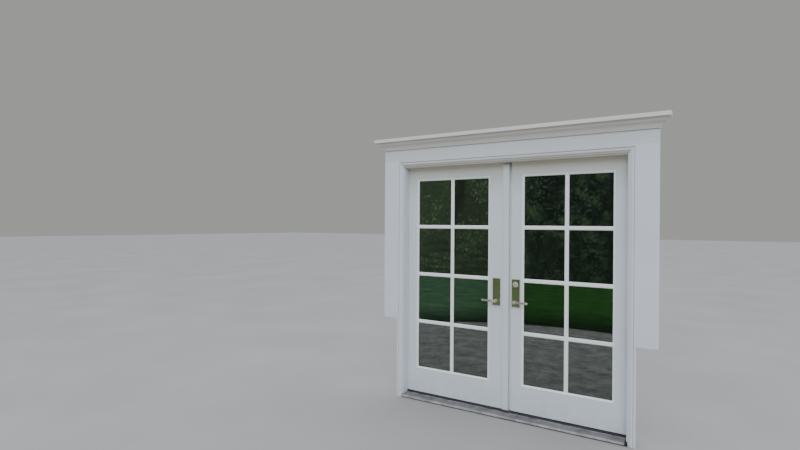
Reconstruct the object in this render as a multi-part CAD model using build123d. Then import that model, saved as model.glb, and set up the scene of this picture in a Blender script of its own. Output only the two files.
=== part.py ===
from build123d import *
import os

# French doors: two glazed leaves that swing inwards, in their own frame with outside trim.
# Millimetres. X runs to the right seen from outside, Y runs into the house, Z is up.
# The origin is under the middle of the sill, in the plane of the outside trim's back.

# Leaves
leaf_height = 2013.0
leaf_thickness = 44.5
glass_width = 664.5          # clear width of glass in one leaf
bottom_rail_face = 223.0     # leaf edge to clear glass
top_rail_face = 127.0
hinge_stile_face = 115.0
active_lock_stile_face = 118.5
passive_lock_stile_face = 141.5
hinge_gap = 3.0              # hinge edge and top edge to the frame's rabbet
stop_gap = 3.0               # leaf's outer face to the frame's stop
sweep_gap = 12.0             # leaf's bottom edge to the sill
sweep_carrier = 3.0
sweep_fin = 2.0
sweep_inset = 3.0

# Glazing
bead_width = 14.0
bead_proud = 1.6
bead_lip = 8.0               # bead height at the clear glass, and height of the bars
bead_flat = 3.0
pane_thickness = 3.0
pane_space = 12.7
pane_edge_gap = 3.0
spacer_width = 8.0
bar_width = 31.0
bar_bevel = 5.0
bar_edge = 4.0
bar_columns = 2
bar_rows = 4

# Meeting of the leaves: the astragal stands on the passive leaf's lock edge
astragal_body = 39.5
astragal_clearance = 4.0
astragal_lap = 11.0          # over the face of the passive leaf
astragal_proud = 10.0
astragal_round = 2.5
astragal_top_gap = 14.0      # its face stops this far below the head's stop
seal_proud = 2.0
seal_half_width = 3.0
seal_tongue = 4.0
seal_tongue_width = 2.0
seal_from_face = 5.0
rebate_width = 17.0          # along the active leaf's meeting edge
rebate_depth = 4.5

# Frame
jamb_depth = 116.0
jamb_thickness = 19.0        # behind the rabbet
stop_lap = 12.7
strip_width = 8.0
strip_thickness = 2.6
strip_tongue = 5.0
strip_tongue_width = 2.0
strip_inset = 1.5
anchor_radius = 2.6
anchor_from_end = 340.0      # from the foot and the top of a jamb
anchor_depth = 36.0

# Sill
sill_height = 36.0           # top of the sill cap
sill_cap_thickness = 12.0
sill_cap_ease = 1.25
sill_nose = 24.0             # height of the nose
sill_nose_lift = 8.0
sill_front = 23.0            # nose in front of the trim's back
deck_skin = 2.5
deck_ribs = 6
deck_rib_height = 1.2
deck_rib_width = 3.0
deck_rib_land = 1.2
deck_rib_pitch = 9.0
deck_rib_start = 12.0

# Outside trim
trim_thickness = 22.0
brickmould_width = 51.0
brickmould_reveal = 10.0     # frame edge left bare beside the opening
brickmould_lip = 12.0        # its thickness beside the opening
mould_lip_flat = 3.0
mould_cove_end = 12.0
mould_cove_rise = 5.0
mould_crest = 22.0           # where the ogee reaches the full thickness
mould_sag = 0.8              # of the two curves of the ogee
groove_at = 33.0
groove_width = 4.0
groove_depth = 5.0
groove_slope = 1.0
casing_width = 140.0
casing_foot = 705.0          # the legs stop here, well above the floor
head_casing_visible = 99.0
casing_ease = 1.5
crown_height = 68.5
crown_projection = 52.0
crown_lip = 7.0
crown_lip_height = 6.0
crown_top_band = 8.5
crown_top_step = 4.0
crown_waist = (25.0, 38.0)   # outwards and upwards, where the cove turns over
crown_cove_sag = 4.5
crown_nose_sag = 3.5
cap_overhang = 20.0
cap_front = 29.0
cap_fall = 6.0
cap_ease = 3.0

# Hinges
hinge_count = 3
hinge_height = 101.0
hinge_from_top = 228.0       # leaf top to the middle of the top hinge
hinge_from_bottom = 300.0
hinge_plate_width = 37.0
hinge_plate_thickness = 2.5
hinge_plate_inset = 1.0
knuckles = 5
knuckle_gap = 0.3
barrel_radius = 6.5
barrel_clearance = 0.5
pin_radius = 3.5
running_clearance = 0.05
pin_head_radius = 5.5
pin_head = 3.0
pin_tip = 2.0

# Lock furniture
active_backset = 55.0        # lock edge to the lever axis
passive_backset = 65.0
lever_height = 880.0         # lever axis above the leaf's bottom edge
cylinder_offset = 140.0      # key cylinder above the lever axis
plate_width = 66.0
plate_margin = 42.0          # plate end to lever axis or cylinder
plate_thickness = 8.0
plate_bevel = 4.0
neck_radius = 9.0
neck_reach = 40.0            # plate face to the middle of the lever arm
lever_length = 111.0         # lever axis to the tip
lever_deep = 12.0
lever_tall = 18.0
lever_tip_round = 3.0
hub_radius = 13.5
hub_bevel = 2.5
spindle_width = 8.0
spindle_clearance = 0.15
spindle_grip = 22.0          # spindle inside the outer lever's neck
cylinder_radius = 14.0
cylinder_flange_radius = 22.0
cylinder_flange = 11.0
plug_radius = 7.0
plug_proud = 1.0
flange_bevel = 5.0
key_slot_width = 1.6
key_slot_height = 8.0
key_slot_depth = 12.0
thumb_radius = 17.0
thumb_base = 6.0
thumb_grip_length = 30.0
thumb_grip_width = 8.0
thumb_grip_height = 16.0
thumb_bevel = 2.0
thumb_round = 9.5
case_thickness = 18.0
case_depth = 85.0
case_end = 22.0              # case beyond the plate's ends
face_thickness = 3.0
face_width = 24.0
slide_clearance = 0.3
latch_throw = 12.0
latch_height = 22.0
latch_thickness = 11.0
latch_length = 42.0
latch_bevel = 9.0
latch_bevel_inset = 1.0      # the bevel stops this far outside the faceplate
deadbolt_throw = 24.0
deadbolt_height = 28.0
deadbolt_thickness = 12.0
deadbolt_length = 42.0
deadbolt_inset = 0.5
deadbolt_bevel = 1.0
strike_thickness = 2.0
strike_width = 26.0
strike_margin = 30.0
pocket_clearance = 1.5
shoot_radius = 5.0
shoot_inset = 7.0            # rod axis from the passive leaf's lock edge
shoot_throw = 22.0
shoot_rest = 2.0             # rod end inside the leaf's end, withdrawn
shoot_in_case = 30.0
shoot_strike_length = 60.0

# Places that follow from the sizes above
active_width = hinge_stile_face + glass_width + active_lock_stile_face
passive_width = hinge_stile_face + glass_width + passive_lock_stile_face
meeting_space = astragal_body + astragal_clearance
rabbet_half = (active_width + passive_width + meeting_space) / 2 + hinge_gap
stop_half = rabbet_half - stop_lap
jamb_half = rabbet_half + jamb_thickness
leaf_edge = rabbet_half - hinge_gap
active_lock_edge = leaf_edge - active_width
passive_lock_edge = passive_width - leaf_edge
astragal_edge = passive_lock_edge + astragal_body

leaf_inner = jamb_depth
leaf_outer = leaf_inner - leaf_thickness
leaf_middle = leaf_inner - leaf_thickness / 2
stop_face = leaf_outer - stop_gap
pack_half = pane_space / 2 + pane_thickness

leaf_bottom = sill_height + sweep_gap
leaf_top = leaf_bottom + leaf_height
glass_bottom = leaf_bottom + bottom_rail_face
glass_top = leaf_top - top_rail_face
glass_height = glass_top - glass_bottom
head_rabbet = leaf_top + hinge_gap
head_stop = head_rabbet - stop_lap
head_top = head_rabbet + jamb_thickness

mould_inner = stop_half + brickmould_reveal
mould_outer = mould_inner + brickmould_width
mould_low = head_stop + brickmould_reveal
mould_high = mould_low + brickmould_width
casing_outer = mould_outer + casing_width
crown_bottom = mould_high + head_casing_visible
crown_top = crown_bottom + crown_height
cap_half = casing_outer + crown_projection + cap_overhang
cap_nose = trim_thickness + crown_projection + cap_overhang

pin_x = rabbet_half - hinge_gap / 2
pin_y = leaf_inner + barrel_radius + barrel_clearance
lever_z = leaf_bottom + lever_height
cylinder_z = lever_z + cylinder_offset
plate_low = lever_z - plate_margin
plate_high = cylinder_z + plate_margin
case_low = plate_low - case_end
case_high = plate_high + case_end
spindle_reach = spindle_width / 2 * 2 ** 0.5
sides = {"left": -1, "right": 1}


def block(xs, ys, zs):
    """A rectangular solid between two values on each axis."""
    (x0, x1), (y0, y1), (z0, z1) = sorted(xs), sorted(ys), sorted(zs)
    return Pos((x0 + x1) / 2, (y0 + y1) / 2, (z0 + z1) / 2) * Box(x1 - x0, y1 - y0, z1 - z0)


def about(middle, size):
    """The two ends of a size centred on a value."""
    return middle - size / 2, middle + size / 2


def rod(radius, start, direction, length):
    """A round bar from a point along a direction."""
    return extrude(Plane(start, z_dir=direction) * Circle(radius), amount=length)


def outline(*edges):
    """A flat face inside a closed chain of edges."""
    return make_face(Curve() + list(edges))


def polygon(points):
    """A flat face with straight sides."""
    return make_face(Polyline(*points, close=True))


def moulding(section, ends, across, outward):
    """A section carried between two points: its width runs across, its height outward."""
    start, end = (Vector(*point) for point in ends)
    across, outward = Vector(*across), Vector(*outward)
    along = across.cross(outward)
    if along.dot(end - start) < 0:
        start, end = end, start
    return extrude(Plane(start, x_dir=across, z_dir=along) * section, amount=(end - start).length)


def mitre(piece, corner, keep):
    """The part of a piece on the side of a cut through corner that keep points to."""
    return split(piece, bisect_by=Plane(corner, z_dir=keep), keep=Keep.TOP)


def leaf_x(side, along):
    """X of a place on a leaf, measured from its hinge edge."""
    return sides[side] * (leaf_edge - along)


def leaf_width(side):
    return active_width if side == "right" else passive_width


def backset(side):
    return active_backset if side == "right" else passive_backset


def glass_span(side):
    """X of the clear glass, hinge side first."""
    return leaf_x(side, hinge_stile_face), leaf_x(side, hinge_stile_face + glass_width)


def lock_x(side):
    """X of the lever axis and the key cylinder."""
    return leaf_x(side, leaf_width(side) - backset(side))


def toward_hinge(side):
    return sides[side]


# Sill

def deck_line(y):
    """Height of the deck's top, which falls from the sill cap to the nose."""
    slope = (sill_height - sill_nose) / (stop_face + sill_front)
    return sill_nose + slope * (y + sill_front)


def deck_ribbed_top():
    """The deck's top edge from back to front, with its shallow ribs."""
    points = [(stop_face, deck_line(stop_face))]
    for index in reversed(range(deck_ribs)):
        rib = deck_rib_start - sill_front + index * deck_rib_pitch
        middle = rib + deck_rib_width / 2
        for y, rise in ((rib + deck_rib_width, 0), (middle + deck_rib_land / 2, deck_rib_height),
                        (middle - deck_rib_land / 2, deck_rib_height), (rib, 0)):
            points.append((y, deck_line(y) + rise))
    points.append((deck_skin - sill_front, deck_line(deck_skin - sill_front)))
    return points


def sill_deck():
    """A drawn metal skin over the base, turned down at the nose."""
    top = deck_ribbed_top()
    inside_front = deck_skin - sill_front
    under = [(-sill_front, sill_nose - deck_skin), (-sill_front, sill_nose_lift),
             (inside_front, sill_nose_lift), (inside_front, deck_line(inside_front) - deck_skin),
             (stop_face, deck_line(stop_face) - deck_skin)]
    end = mould_inner - slide_clearance
    skin = moulding(polygon(top + under), ((-end, 0, 0), (end, 0, 0)), (0, 1, 0), (0, 0, 1))
    return skin - stop_blocks()


def stop_blocks():
    """The space of both jambs' stops above the base."""
    return [block((side * stop_half, side * jamb_half), (0, stop_face), (0, sill_height * 2))
            for side in sides.values()]


def sill_base():
    """The weatherproof core that carries the deck, the cap and the jambs."""
    inside_front = deck_skin - sill_front
    seat = sill_height - sill_cap_thickness
    section = polygon([(inside_front, sill_nose_lift), (inside_front, deck_line(inside_front) - deck_skin),
                       (stop_face, deck_line(stop_face) - deck_skin), (stop_face, seat),
                       (jamb_depth, seat), (jamb_depth, 0), (inside_front + sill_nose_lift, 0)])
    base = moulding(section, ((-jamb_half, 0, 0), (jamb_half, 0, 0)), (0, 1, 0), (0, 0, 1))
    for side in sides.values():
        base -= block((side * (mould_inner - slide_clearance), side * jamb_half), (-sill_front, 0),
                      (0, sill_height))
    return base - rod(shoot_radius + slide_clearance, (shoot_x(), leaf_middle, shoot_low()), (0, 0, 1),
                      sill_height)


def sill_cap():
    """The raised seat under the leaves that the sweeps close on."""
    seat = sill_height - sill_cap_thickness
    cap = block((-rabbet_half, rabbet_half), (stop_face, jamb_depth), (seat, sill_height))
    cap = chamfer(cap.edges().filter_by(Axis.X).group_by(Axis.Z)[-1], sill_cap_ease)
    return cap - strike_blank("sill") - rod(shoot_radius + slide_clearance,
                                            (shoot_x(), leaf_middle, seat), (0, 0, 1), sill_height)


# Frame

def anchor_points():
    return [anchor_from_end, head_top - anchor_from_end]


def jamb(side):
    """A side jamb with its stop, mortised for the hinge plates and kerfed for the strip."""
    s = sides[side]
    post = block((s * rabbet_half, s * jamb_half), (0, jamb_depth), (0, head_top))
    post += block((s * stop_half, s * jamb_half), (0, stop_face), (0, head_top))
    post -= [sill_base()] + list(strip_runs().values())
    for z in hinge_heights():
        post -= plate_blank(side, z, rabbet_half)
    for z in anchor_points():
        post -= rod(anchor_radius, (s * stop_half, anchor_depth, z), (s, 0, 0), jamb_half - stop_half)
    return post


def head_jamb():
    """The head with its stop, housed between the side jambs."""
    head = block((-rabbet_half, rabbet_half), (stop_face, jamb_depth), (head_rabbet, head_top))
    head += block((-stop_half, stop_half), (0, stop_face), (head_stop, head_top))
    head -= list(strip_runs().values()) + [strike_blank("head")]
    return head - rod(shoot_radius + slide_clearance, (shoot_x(), leaf_middle, head_rabbet), (0, 0, 1),
                      jamb_thickness)


def strip_section():
    """The weather strip: a rounded pad on a thin tongue, drawn across by outward."""
    half = strip_width / 2
    pad = outline(
        Line((-half, 0), (-half, strip_thickness / 3)),
        ThreePointArc((-half, strip_thickness / 3), (0, strip_thickness), (half, strip_thickness / 3)),
        Line((half, strip_thickness / 3), (half, 0)),
        Line((half, 0), (-half, 0)))
    return pad + Pos(0, -strip_tongue / 2) * Rectangle(strip_tongue_width, strip_tongue)


def strip_runs():
    """The weather strips on the stops' inner faces: both sides and the head."""
    off = strip_inset + strip_width / 2
    foot = sill_height + slide_clearance
    top = head_stop + off + strip_width / 2
    runs = {}
    for side, s in sides.items():
        middle = s * (stop_half + off)
        run = moulding(strip_section(), ((middle, stop_face, foot), (middle, stop_face, top)),
                       (s, 0, 0), (0, 1, 0))
        runs[side] = mitre(run, (s * stop_half, stop_face, head_stop), (s, 0, -1))
    end = stop_half + off + strip_width / 2
    run = moulding(strip_section(), ((-end, stop_face, head_stop + off), (end, stop_face, head_stop + off)),
                   (0, 0, 1), (0, 1, 0))
    for s in sides.values():
        run = mitre(run, (s * stop_half, stop_face, head_stop), (-s, 0, 1))
    runs["head"] = run
    return runs


def frame_weatherstrip():
    return Compound(children=[run.solid() for run in strip_runs().values()])


# Outside trim

def brickmould_section():
    """Across from the opening outwards: a lip, an ogee, a groove and a flat band."""
    front = trim_thickness
    bottom = front - groove_depth
    far = groove_at + groove_width
    lip, turn = (mould_lip_flat, brickmould_lip), (mould_cove_end, brickmould_lip + mould_cove_rise)
    crest = (mould_crest, front)
    return outline(
        Line((0, 0), (0, brickmould_lip)),
        Line((0, brickmould_lip), lip),
        SagittaArc(lip, turn, -mould_sag),
        SagittaArc(turn, crest, mould_sag),
        Line(crest, (groove_at, front)),
        Line((groove_at, front), (groove_at + groove_slope, bottom)),
        Line((groove_at + groove_slope, bottom), (far - groove_slope, bottom)),
        Line((far - groove_slope, bottom), (far, front)),
        Line((far, front), (brickmould_width, front)),
        Line((brickmould_width, front), (brickmould_width, 0)),
        Line((brickmould_width, 0), (0, 0)))


def brickmould_leg(side):
    """A side of the brickmould, from the sill's underside to its mitre."""
    s = sides[side]
    leg = moulding(brickmould_section(), ((s * mould_inner, 0, 0), (s * mould_inner, 0, mould_high)),
                   (s, 0, 0), (0, -1, 0))
    return mitre(leg, (s * mould_inner, 0, mould_low), (s, 0, -1))


def brickmould_head():
    run = moulding(brickmould_section(), ((-mould_outer, 0, mould_low), (mould_outer, 0, mould_low)),
                   (0, 0, 1), (0, -1, 0))
    for s in sides.values():
        run = mitre(run, (s * mould_inner, 0, mould_low), (-s, 0, 1))
    return run


def casing_leg(side):
    """A flat board beside the brickmould, from well above the floor to the head board."""
    s = sides[side]
    board = block((s * mould_outer, s * casing_outer), (-trim_thickness, 0), (casing_foot, mould_high))
    corner = board.edges().filter_by(Axis.Z).group_by(Axis.Y)[0].sort_by(Axis.X)[-1 if s > 0 else 0]
    return chamfer(corner, casing_ease)


def head_casing():
    """The flat head board, which runs up behind the crown."""
    board = block((-casing_outer, casing_outer), (-trim_thickness, 0), (mould_high, crown_top))
    corners = board.edges().filter_by(Axis.Z).group_by(Axis.Y)[0]
    return chamfer(corners, casing_ease)


def crown_section():
    """Outwards by upwards: a lip, a cove that turns over, and a top band."""
    shoulder = crown_height - crown_top_band
    edge = crown_projection - crown_top_step
    return outline(
        Line((0, 0), (crown_lip, 0)),
        Line((crown_lip, 0), (crown_lip, crown_lip_height)),
        SagittaArc((crown_lip, crown_lip_height), crown_waist, crown_cove_sag),
        SagittaArc(crown_waist, (edge, shoulder), -crown_nose_sag),
        Line((edge, shoulder), (crown_projection, shoulder)),
        Line((crown_projection, shoulder), (crown_projection, crown_height)),
        Line((crown_projection, crown_height), (0, crown_height)),
        Line((0, crown_height), (0, 0)))


def crown_moulding():
    """The crown: a front run and two returns at its ends, mitred and glued."""
    far = casing_outer + crown_projection
    ends = ((-far, -trim_thickness, crown_bottom), (far, -trim_thickness, crown_bottom))
    front = moulding(crown_section(), ends, (0, -1, 0), (0, 0, 1))
    runs = []
    for side, s in sides.items():
        corner = (s * casing_outer, -trim_thickness, crown_bottom)
        front = mitre(front, corner, (-s, -1, 0))
        ends = ((s * casing_outer, -trim_thickness - crown_projection, crown_bottom),
                (s * casing_outer, 0, crown_bottom))
        runs.append(mitre(moulding(crown_section(), ends, (s, 0, 0), (0, 0, 1)), corner, (s, 1, 0)))
    return Compound(children=[front.solid()] + [run.solid() for run in runs])


def crown_cap():
    """The drip board on the crown, with a top that falls outwards."""
    section = polygon([(0, 0), (0, cap_front + cap_fall), (-cap_nose, cap_front), (-cap_nose, 0)])
    cap = moulding(section, ((-cap_half, 0, crown_top), (cap_half, 0, crown_top)), (0, 1, 0), (0, 0, 1))
    front = cap.edges().filter_by(Axis.X).group_by(Axis.Y)[0]
    return fillet(front, cap_ease)


# Hinges

def hinge_heights():
    """Middle of each hinge, evenly spaced between the top and bottom ones."""
    low = leaf_bottom + hinge_from_bottom
    high = leaf_top - hinge_from_top
    return [low + (high - low) * index / (hinge_count - 1) for index in range(hinge_count)]


def plate_depth(side, face_x):
    """X of a hinge plate's two faces: let into the jamb at its rabbet, or into the leaf's edge."""
    depth = hinge_plate_thickness if face_x == rabbet_half else -hinge_plate_thickness
    return sides[side] * face_x, sides[side] * (face_x + depth)


def plate_blank(side, z, face_x):
    """A hinge plate's own space, let into a wood face at face_x."""
    near = leaf_inner - hinge_plate_inset - hinge_plate_width
    return block(plate_depth(side, face_x), (near, leaf_inner), about(z, hinge_height))


def hinge_plate(side, z, face_x, first):
    """A plate with its share of the knuckles, every second one from first."""
    xs, axis_x = plate_depth(side, face_x), sides[side] * pin_x
    edge = leaf_inner - hinge_plate_inset
    low = z - hinge_height / 2
    pitch = hinge_height / knuckles
    plate = block(xs, (edge - hinge_plate_width, edge), about(z, hinge_height))
    for index in range(first, knuckles, 2):
        foot = low + index * pitch + knuckle_gap / 2
        height = pitch - knuckle_gap
        plate += block(xs, (edge, pin_y), (foot, foot + height))
        plate += rod(barrel_radius, (axis_x, pin_y, foot), (0, 0, 1), height)
    return plate - rod(pin_radius + running_clearance, (axis_x, pin_y, low), (0, 0, 1), hinge_height)


def jamb_hinge_plates():
    return Compound(children=[hinge_plate(side, z, rabbet_half, 0).solid()
                              for side in sides for z in hinge_heights()])


def leaf_hinge_plates(side):
    return Compound(children=[hinge_plate(side, z, leaf_edge, 1).solid() for z in hinge_heights()])


def hinge_pins():
    pins = []
    for s in sides.values():
        for z in hinge_heights():
            low, high = about(z, hinge_height - knuckle_gap)
            pin = rod(pin_radius, (s * pin_x, pin_y, low - pin_tip), (0, 0, 1), high - low + pin_tip)
            pin += rod(pin_head_radius, (s * pin_x, pin_y, high), (0, 0, 1), pin_head)
            pins.append(pin.solid())
    return Compound(children=pins)


# Leaf joinery

def hinge_stile(side):
    stile = block((leaf_x(side, 0), leaf_x(side, hinge_stile_face - bead_width)), (leaf_outer, leaf_inner),
                  (leaf_bottom, leaf_top))
    for z in hinge_heights():
        stile -= plate_blank(side, z, leaf_edge)
    return stile


def lock_stile(side):
    """The stile at the meeting, mortised for the lock, bored for the furniture and rebated or grooved."""
    width = leaf_width(side)
    stile = block((leaf_x(side, hinge_stile_face + glass_width + bead_width), leaf_x(side, width)),
                  (leaf_outer, leaf_inner), (leaf_bottom, leaf_top))
    stile -= case_space(side)
    for z, radius in furniture_bores(side):
        stile -= rod(radius + pocket_clearance, (lock_x(side), leaf_outer, z), (0, 1, 0), leaf_thickness)
    if side == "left":
        return stile - shoot_groove()
    return stile - block((leaf_x(side, width), leaf_x(side, width - rebate_width)),
                         (leaf_outer, leaf_outer + rebate_depth), (leaf_bottom, leaf_top))


def furniture_bores(side):
    """Heights and radii of what passes through the leaf at the lock."""
    bores = [(lever_z, neck_radius)]
    if side == "right":
        bores.append((cylinder_z, cylinder_radius))
    return bores


def rail(side, zs):
    near, far = hinge_stile_face - bead_width, hinge_stile_face + glass_width + bead_width
    return block((leaf_x(side, near), leaf_x(side, far)), (leaf_outer, leaf_inner), zs)


def top_rail(side):
    return rail(side, (glass_top + bead_width, leaf_top))


def bottom_rail(side):
    return rail(side, (leaf_bottom, glass_bottom - bead_width))


# Glazing

def pack_span(side, inset):
    """The rectangle of the glass unit, drawn in by inset from the rebate."""
    grow = bead_width - inset
    near, far = sorted(glass_span(side))
    return (near - grow, far + grow), (glass_bottom - grow, glass_top + grow)


def glass_panes(side):
    xs, zs = pack_span(side, pane_edge_gap)
    faces = [leaf_middle - pack_half, leaf_middle + pane_space / 2]
    return Compound(children=[block(xs, (y, y + pane_thickness), zs).solid() for y in faces])


def glass_spacer(side):
    """The bar that holds the panes apart, all round the unit."""
    xs, zs = pack_span(side, pane_edge_gap)
    inner_xs, inner_zs = pack_span(side, pane_edge_gap + spacer_width)
    ys = about(leaf_middle, pane_space)
    return block(xs, ys, zs) - block(inner_xs, ys, inner_zs)


def bead_section():
    """Inwards from the rebate by outwards from the pane."""
    rise = leaf_thickness / 2 - pack_half + bead_proud
    return polygon([(0, 0), (0, rise), (bead_flat, rise), (bead_width, bead_lip), (bead_width, 0)])


def bead_ring(side, facing):
    """Four beads round the glass on one face of the leaf, mitred at the corners."""
    (x0, x1), (z0, z1) = pack_span(side, 0)
    y = leaf_middle + facing * pack_half
    corners = [Vector(x0, y, z0), Vector(x1, y, z0), Vector(x1, y, z1), Vector(x0, y, z1)]
    beads = []
    for index, start in enumerate(corners):
        end = corners[(index + 1) % 4]
        along = (end - start).normalized()
        inward = Vector(0, -1, 0).cross(along)
        bead = moulding(bead_section(), (start, end), inward, (0, facing, 0))
        bead = mitre(bead, start, along - inward)
        bead = mitre(bead, end, -along - inward)
        beads.append(bead.solid())
    return beads


def glazing_beads(side):
    return Compound(children=bead_ring(side, -1) + bead_ring(side, 1))


def bar_section():
    left, right = about(0, bar_width)
    return polygon([(left, 0), (left, bar_edge), (left + bar_bevel, bead_lip),
                    (right - bar_bevel, bead_lip), (right, bar_edge), (right, 0)])


def bar_grid(side, facing):
    """The bars on one face of the glass: uprights in one length, level bars let in between."""
    near, far = sorted(glass_span(side))
    y = leaf_middle + facing * pack_half
    pitch_x = (far - near + bar_width) / bar_columns
    pitch_z = (glass_height + bar_width) / bar_rows
    middles_x = [near - bar_width / 2 + pitch_x * index for index in range(1, bar_columns)]
    bars = Part()
    for x in middles_x:
        ends = ((x, y, glass_bottom), (x, y, glass_top))
        bars += moulding(bar_section(), ends, (1, 0, 0), (0, facing, 0))
    for index in range(1, bar_rows):
        z = glass_bottom - bar_width / 2 + pitch_z * index
        bars += moulding(bar_section(), ((near, y, z), (far, y, z)), (0, 0, 1), (0, facing, 0))
    return bars.solids()


def glazing_bars(side):
    return Compound(children=bar_grid(side, -1) + bar_grid(side, 1))


def door_sweep(side):
    """The sweep under a leaf: a flat carrier with three hanging fins."""
    foot = sill_height + slide_clearance
    near, far = leaf_outer + sweep_inset, leaf_inner - sweep_inset
    beside_bolt = leaf_middle - shoot_radius - slide_clearance - 2 * sweep_fin
    xs = (leaf_x(side, sweep_inset), leaf_x(side, leaf_width(side) - sweep_inset))
    sweep = block(xs, (near, far), (leaf_bottom - sweep_carrier, leaf_bottom))
    for y in (near, beside_bolt, far - sweep_fin):
        sweep += block(xs, (y, y + sweep_fin), (foot, leaf_bottom))
    if side == "left":
        sweep -= rod(shoot_radius + slide_clearance, (shoot_x(), leaf_middle, foot), (0, 0, 1), sweep_gap)
    return sweep


# Meeting of the leaves

def astragal_section():
    """X by distance outwards from the leaves' inner face."""
    front = leaf_thickness + astragal_proud
    left = passive_lock_edge - astragal_lap
    face = polygon([(passive_lock_edge, 0), (astragal_edge, 0), (astragal_edge, front), (left, front),
                    (left, leaf_thickness), (passive_lock_edge, leaf_thickness)])
    corners = face.vertices().group_by(Axis.Y)[-1]
    return fillet(corners, astragal_round)


def astragal():
    """The post on the passive leaf's edge that covers the meeting from outside."""
    post = moulding(astragal_section(), ((0, leaf_inner, leaf_bottom), (0, leaf_inner, leaf_top)),
                    (1, 0, 0), (0, -1, 0))
    face_top = head_stop - astragal_top_gap
    post -= block((passive_lock_edge - astragal_lap, astragal_edge),
                  (leaf_outer - astragal_proud, leaf_outer), (face_top, leaf_top))
    post -= [astragal_seal(), strike_plate_blank()]
    for z, height, thickness, throw in bolt_list():
        post -= block((astragal_edge - throw - pocket_clearance, astragal_edge),
                      about(leaf_middle, thickness + 2 * pocket_clearance),
                      about(z, height + 2 * pocket_clearance))
    return post


def astragal_seal():
    """A bulb strip on the astragal's edge, held by a tongue in a kerf."""
    y = leaf_outer + seal_from_face
    half = seal_half_width
    section = outline(ThreePointArc((-half, 0), (0, seal_proud), (half, 0)), Line((half, 0), (-half, 0)))
    section += Pos(0, -seal_tongue / 2) * Rectangle(seal_tongue_width, seal_tongue)
    return moulding(section, ((astragal_edge, y, leaf_bottom), (astragal_edge, y, leaf_top)),
                    (0, 1, 0), (1, 0, 0))


def bolt_list():
    """Height, size and throw of the active leaf's latch and deadbolt."""
    return [(lever_z, latch_height, latch_thickness, latch_throw),
            (cylinder_z, deadbolt_height, deadbolt_thickness, deadbolt_throw)]


def strike_plate_blank():
    return block((astragal_edge - strike_thickness, astragal_edge), about(leaf_middle, strike_width),
                 (lever_z - strike_margin, cylinder_z + strike_margin))


def astragal_strike():
    plate = strike_plate_blank()
    for z, height, thickness, throw in bolt_list():
        plate -= block((astragal_edge - strike_thickness, astragal_edge),
                       about(leaf_middle, thickness + 2 * pocket_clearance),
                       about(z, height + 2 * pocket_clearance))
    return plate


# Shoot bolts of the passive leaf

def shoot_x():
    return passive_lock_edge - shoot_inset


def shoot_low():
    """Lowest point of the thrown bottom bolt's hole."""
    return leaf_bottom + shoot_rest - shoot_throw - pocket_clearance


def shoot_groove():
    """The channel for the rods in the passive leaf's lock edge, above and below the lock."""
    wide = shoot_radius + slide_clearance
    xs = (shoot_x() - wide, passive_lock_edge)
    ys = about(leaf_middle, 2 * wide)
    return [block(xs, ys, (case_high, leaf_top)), block(xs, ys, (leaf_bottom, case_low))]


def top_bolt():
    low = case_high - shoot_in_case
    return rod(shoot_radius, (shoot_x(), leaf_middle, low), (0, 0, 1), leaf_top - shoot_rest - low)


def bottom_bolt():
    low = leaf_bottom + shoot_rest
    return rod(shoot_radius, (shoot_x(), leaf_middle, low), (0, 0, 1), case_low + shoot_in_case - low)


def strike_blank(place):
    z = head_rabbet + strike_thickness if place == "head" else sill_height
    return block(about(shoot_x(), shoot_strike_length), about(leaf_middle, strike_width),
                 (z - strike_thickness, z))


def bolt_strikes():
    plates = []
    for place in ("head", "sill"):
        blank = strike_blank(place)
        hole = rod(shoot_radius + slide_clearance, (shoot_x(), leaf_middle, 0), (0, 0, 1), head_top)
        plates.append((blank - hole).solid())
    return Compound(children=plates)


# Lock furniture

def case_space(side):
    """The lock's own space in the stile: its faceplate and its case."""
    width = leaf_width(side)
    face = block((leaf_x(side, width), leaf_x(side, width - face_thickness)),
                 about(leaf_middle, face_width), (case_low - face_width / 2, case_high + face_width / 2))
    case = block((leaf_x(side, width - face_thickness), leaf_x(side, width - case_depth)),
                 about(leaf_middle, case_thickness), (case_low, case_high))
    return face + case


def lock_case(side):
    """The mortise lock, with channels for its bolts and bores for the furniture."""
    width = leaf_width(side)
    case = case_space(side)
    bores = [(lever_z, spindle_reach + slide_clearance)]
    if side == "right":
        bores.append((cylinder_z, plug_radius + running_clearance))
    for z, radius in bores:
        case -= rod(radius, (lock_x(side), leaf_outer, z), (0, 1, 0), leaf_thickness)
    if side == "left":
        length = face_width / 2 + shoot_in_case + slide_clearance
        for foot in (case_low - face_width / 2, case_high + face_width / 2 - length):
            case -= rod(shoot_radius + slide_clearance, (shoot_x(), leaf_middle, foot), (0, 0, 1), length)
        return case
    for z, height, thickness, throw in bolt_list():
        inner = leaf_x(side, width - latch_length - deadbolt_inset)
        case -= block((leaf_x(side, width), inner + slide_clearance),
                      about(leaf_middle, thickness + 2 * slide_clearance),
                      about(z, height + 2 * slide_clearance))
    return case


def latch_bolt():
    """The sprung latch, bevelled on its outer side, which meets the strike as the leaf closes."""
    tip = active_lock_edge - latch_throw
    bolt = block((tip, tip + latch_length), about(leaf_middle, latch_thickness),
                 about(lever_z, latch_height))
    edge = bolt.edges().filter_by(Axis.Z).group_by(Axis.X)[0].sort_by(Axis.Y)[0]
    return chamfer(edge, latch_bevel, latch_throw - latch_bevel_inset)


def deadbolt():
    start = active_lock_edge + deadbolt_inset
    bolt = block((start, start + deadbolt_length), about(leaf_middle, deadbolt_thickness),
                 about(cylinder_z, deadbolt_height))
    return chamfer(bolt.faces().sort_by(Axis.X)[0].edges(), deadbolt_bevel)


def facing_of(place):
    """Minus one outside the house, plus one inside."""
    return -1 if place == "outer" else 1


def leaf_face(place):
    return leaf_outer if place == "outer" else leaf_inner


def plate_face(place):
    return leaf_face(place) + facing_of(place) * plate_thickness


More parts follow.
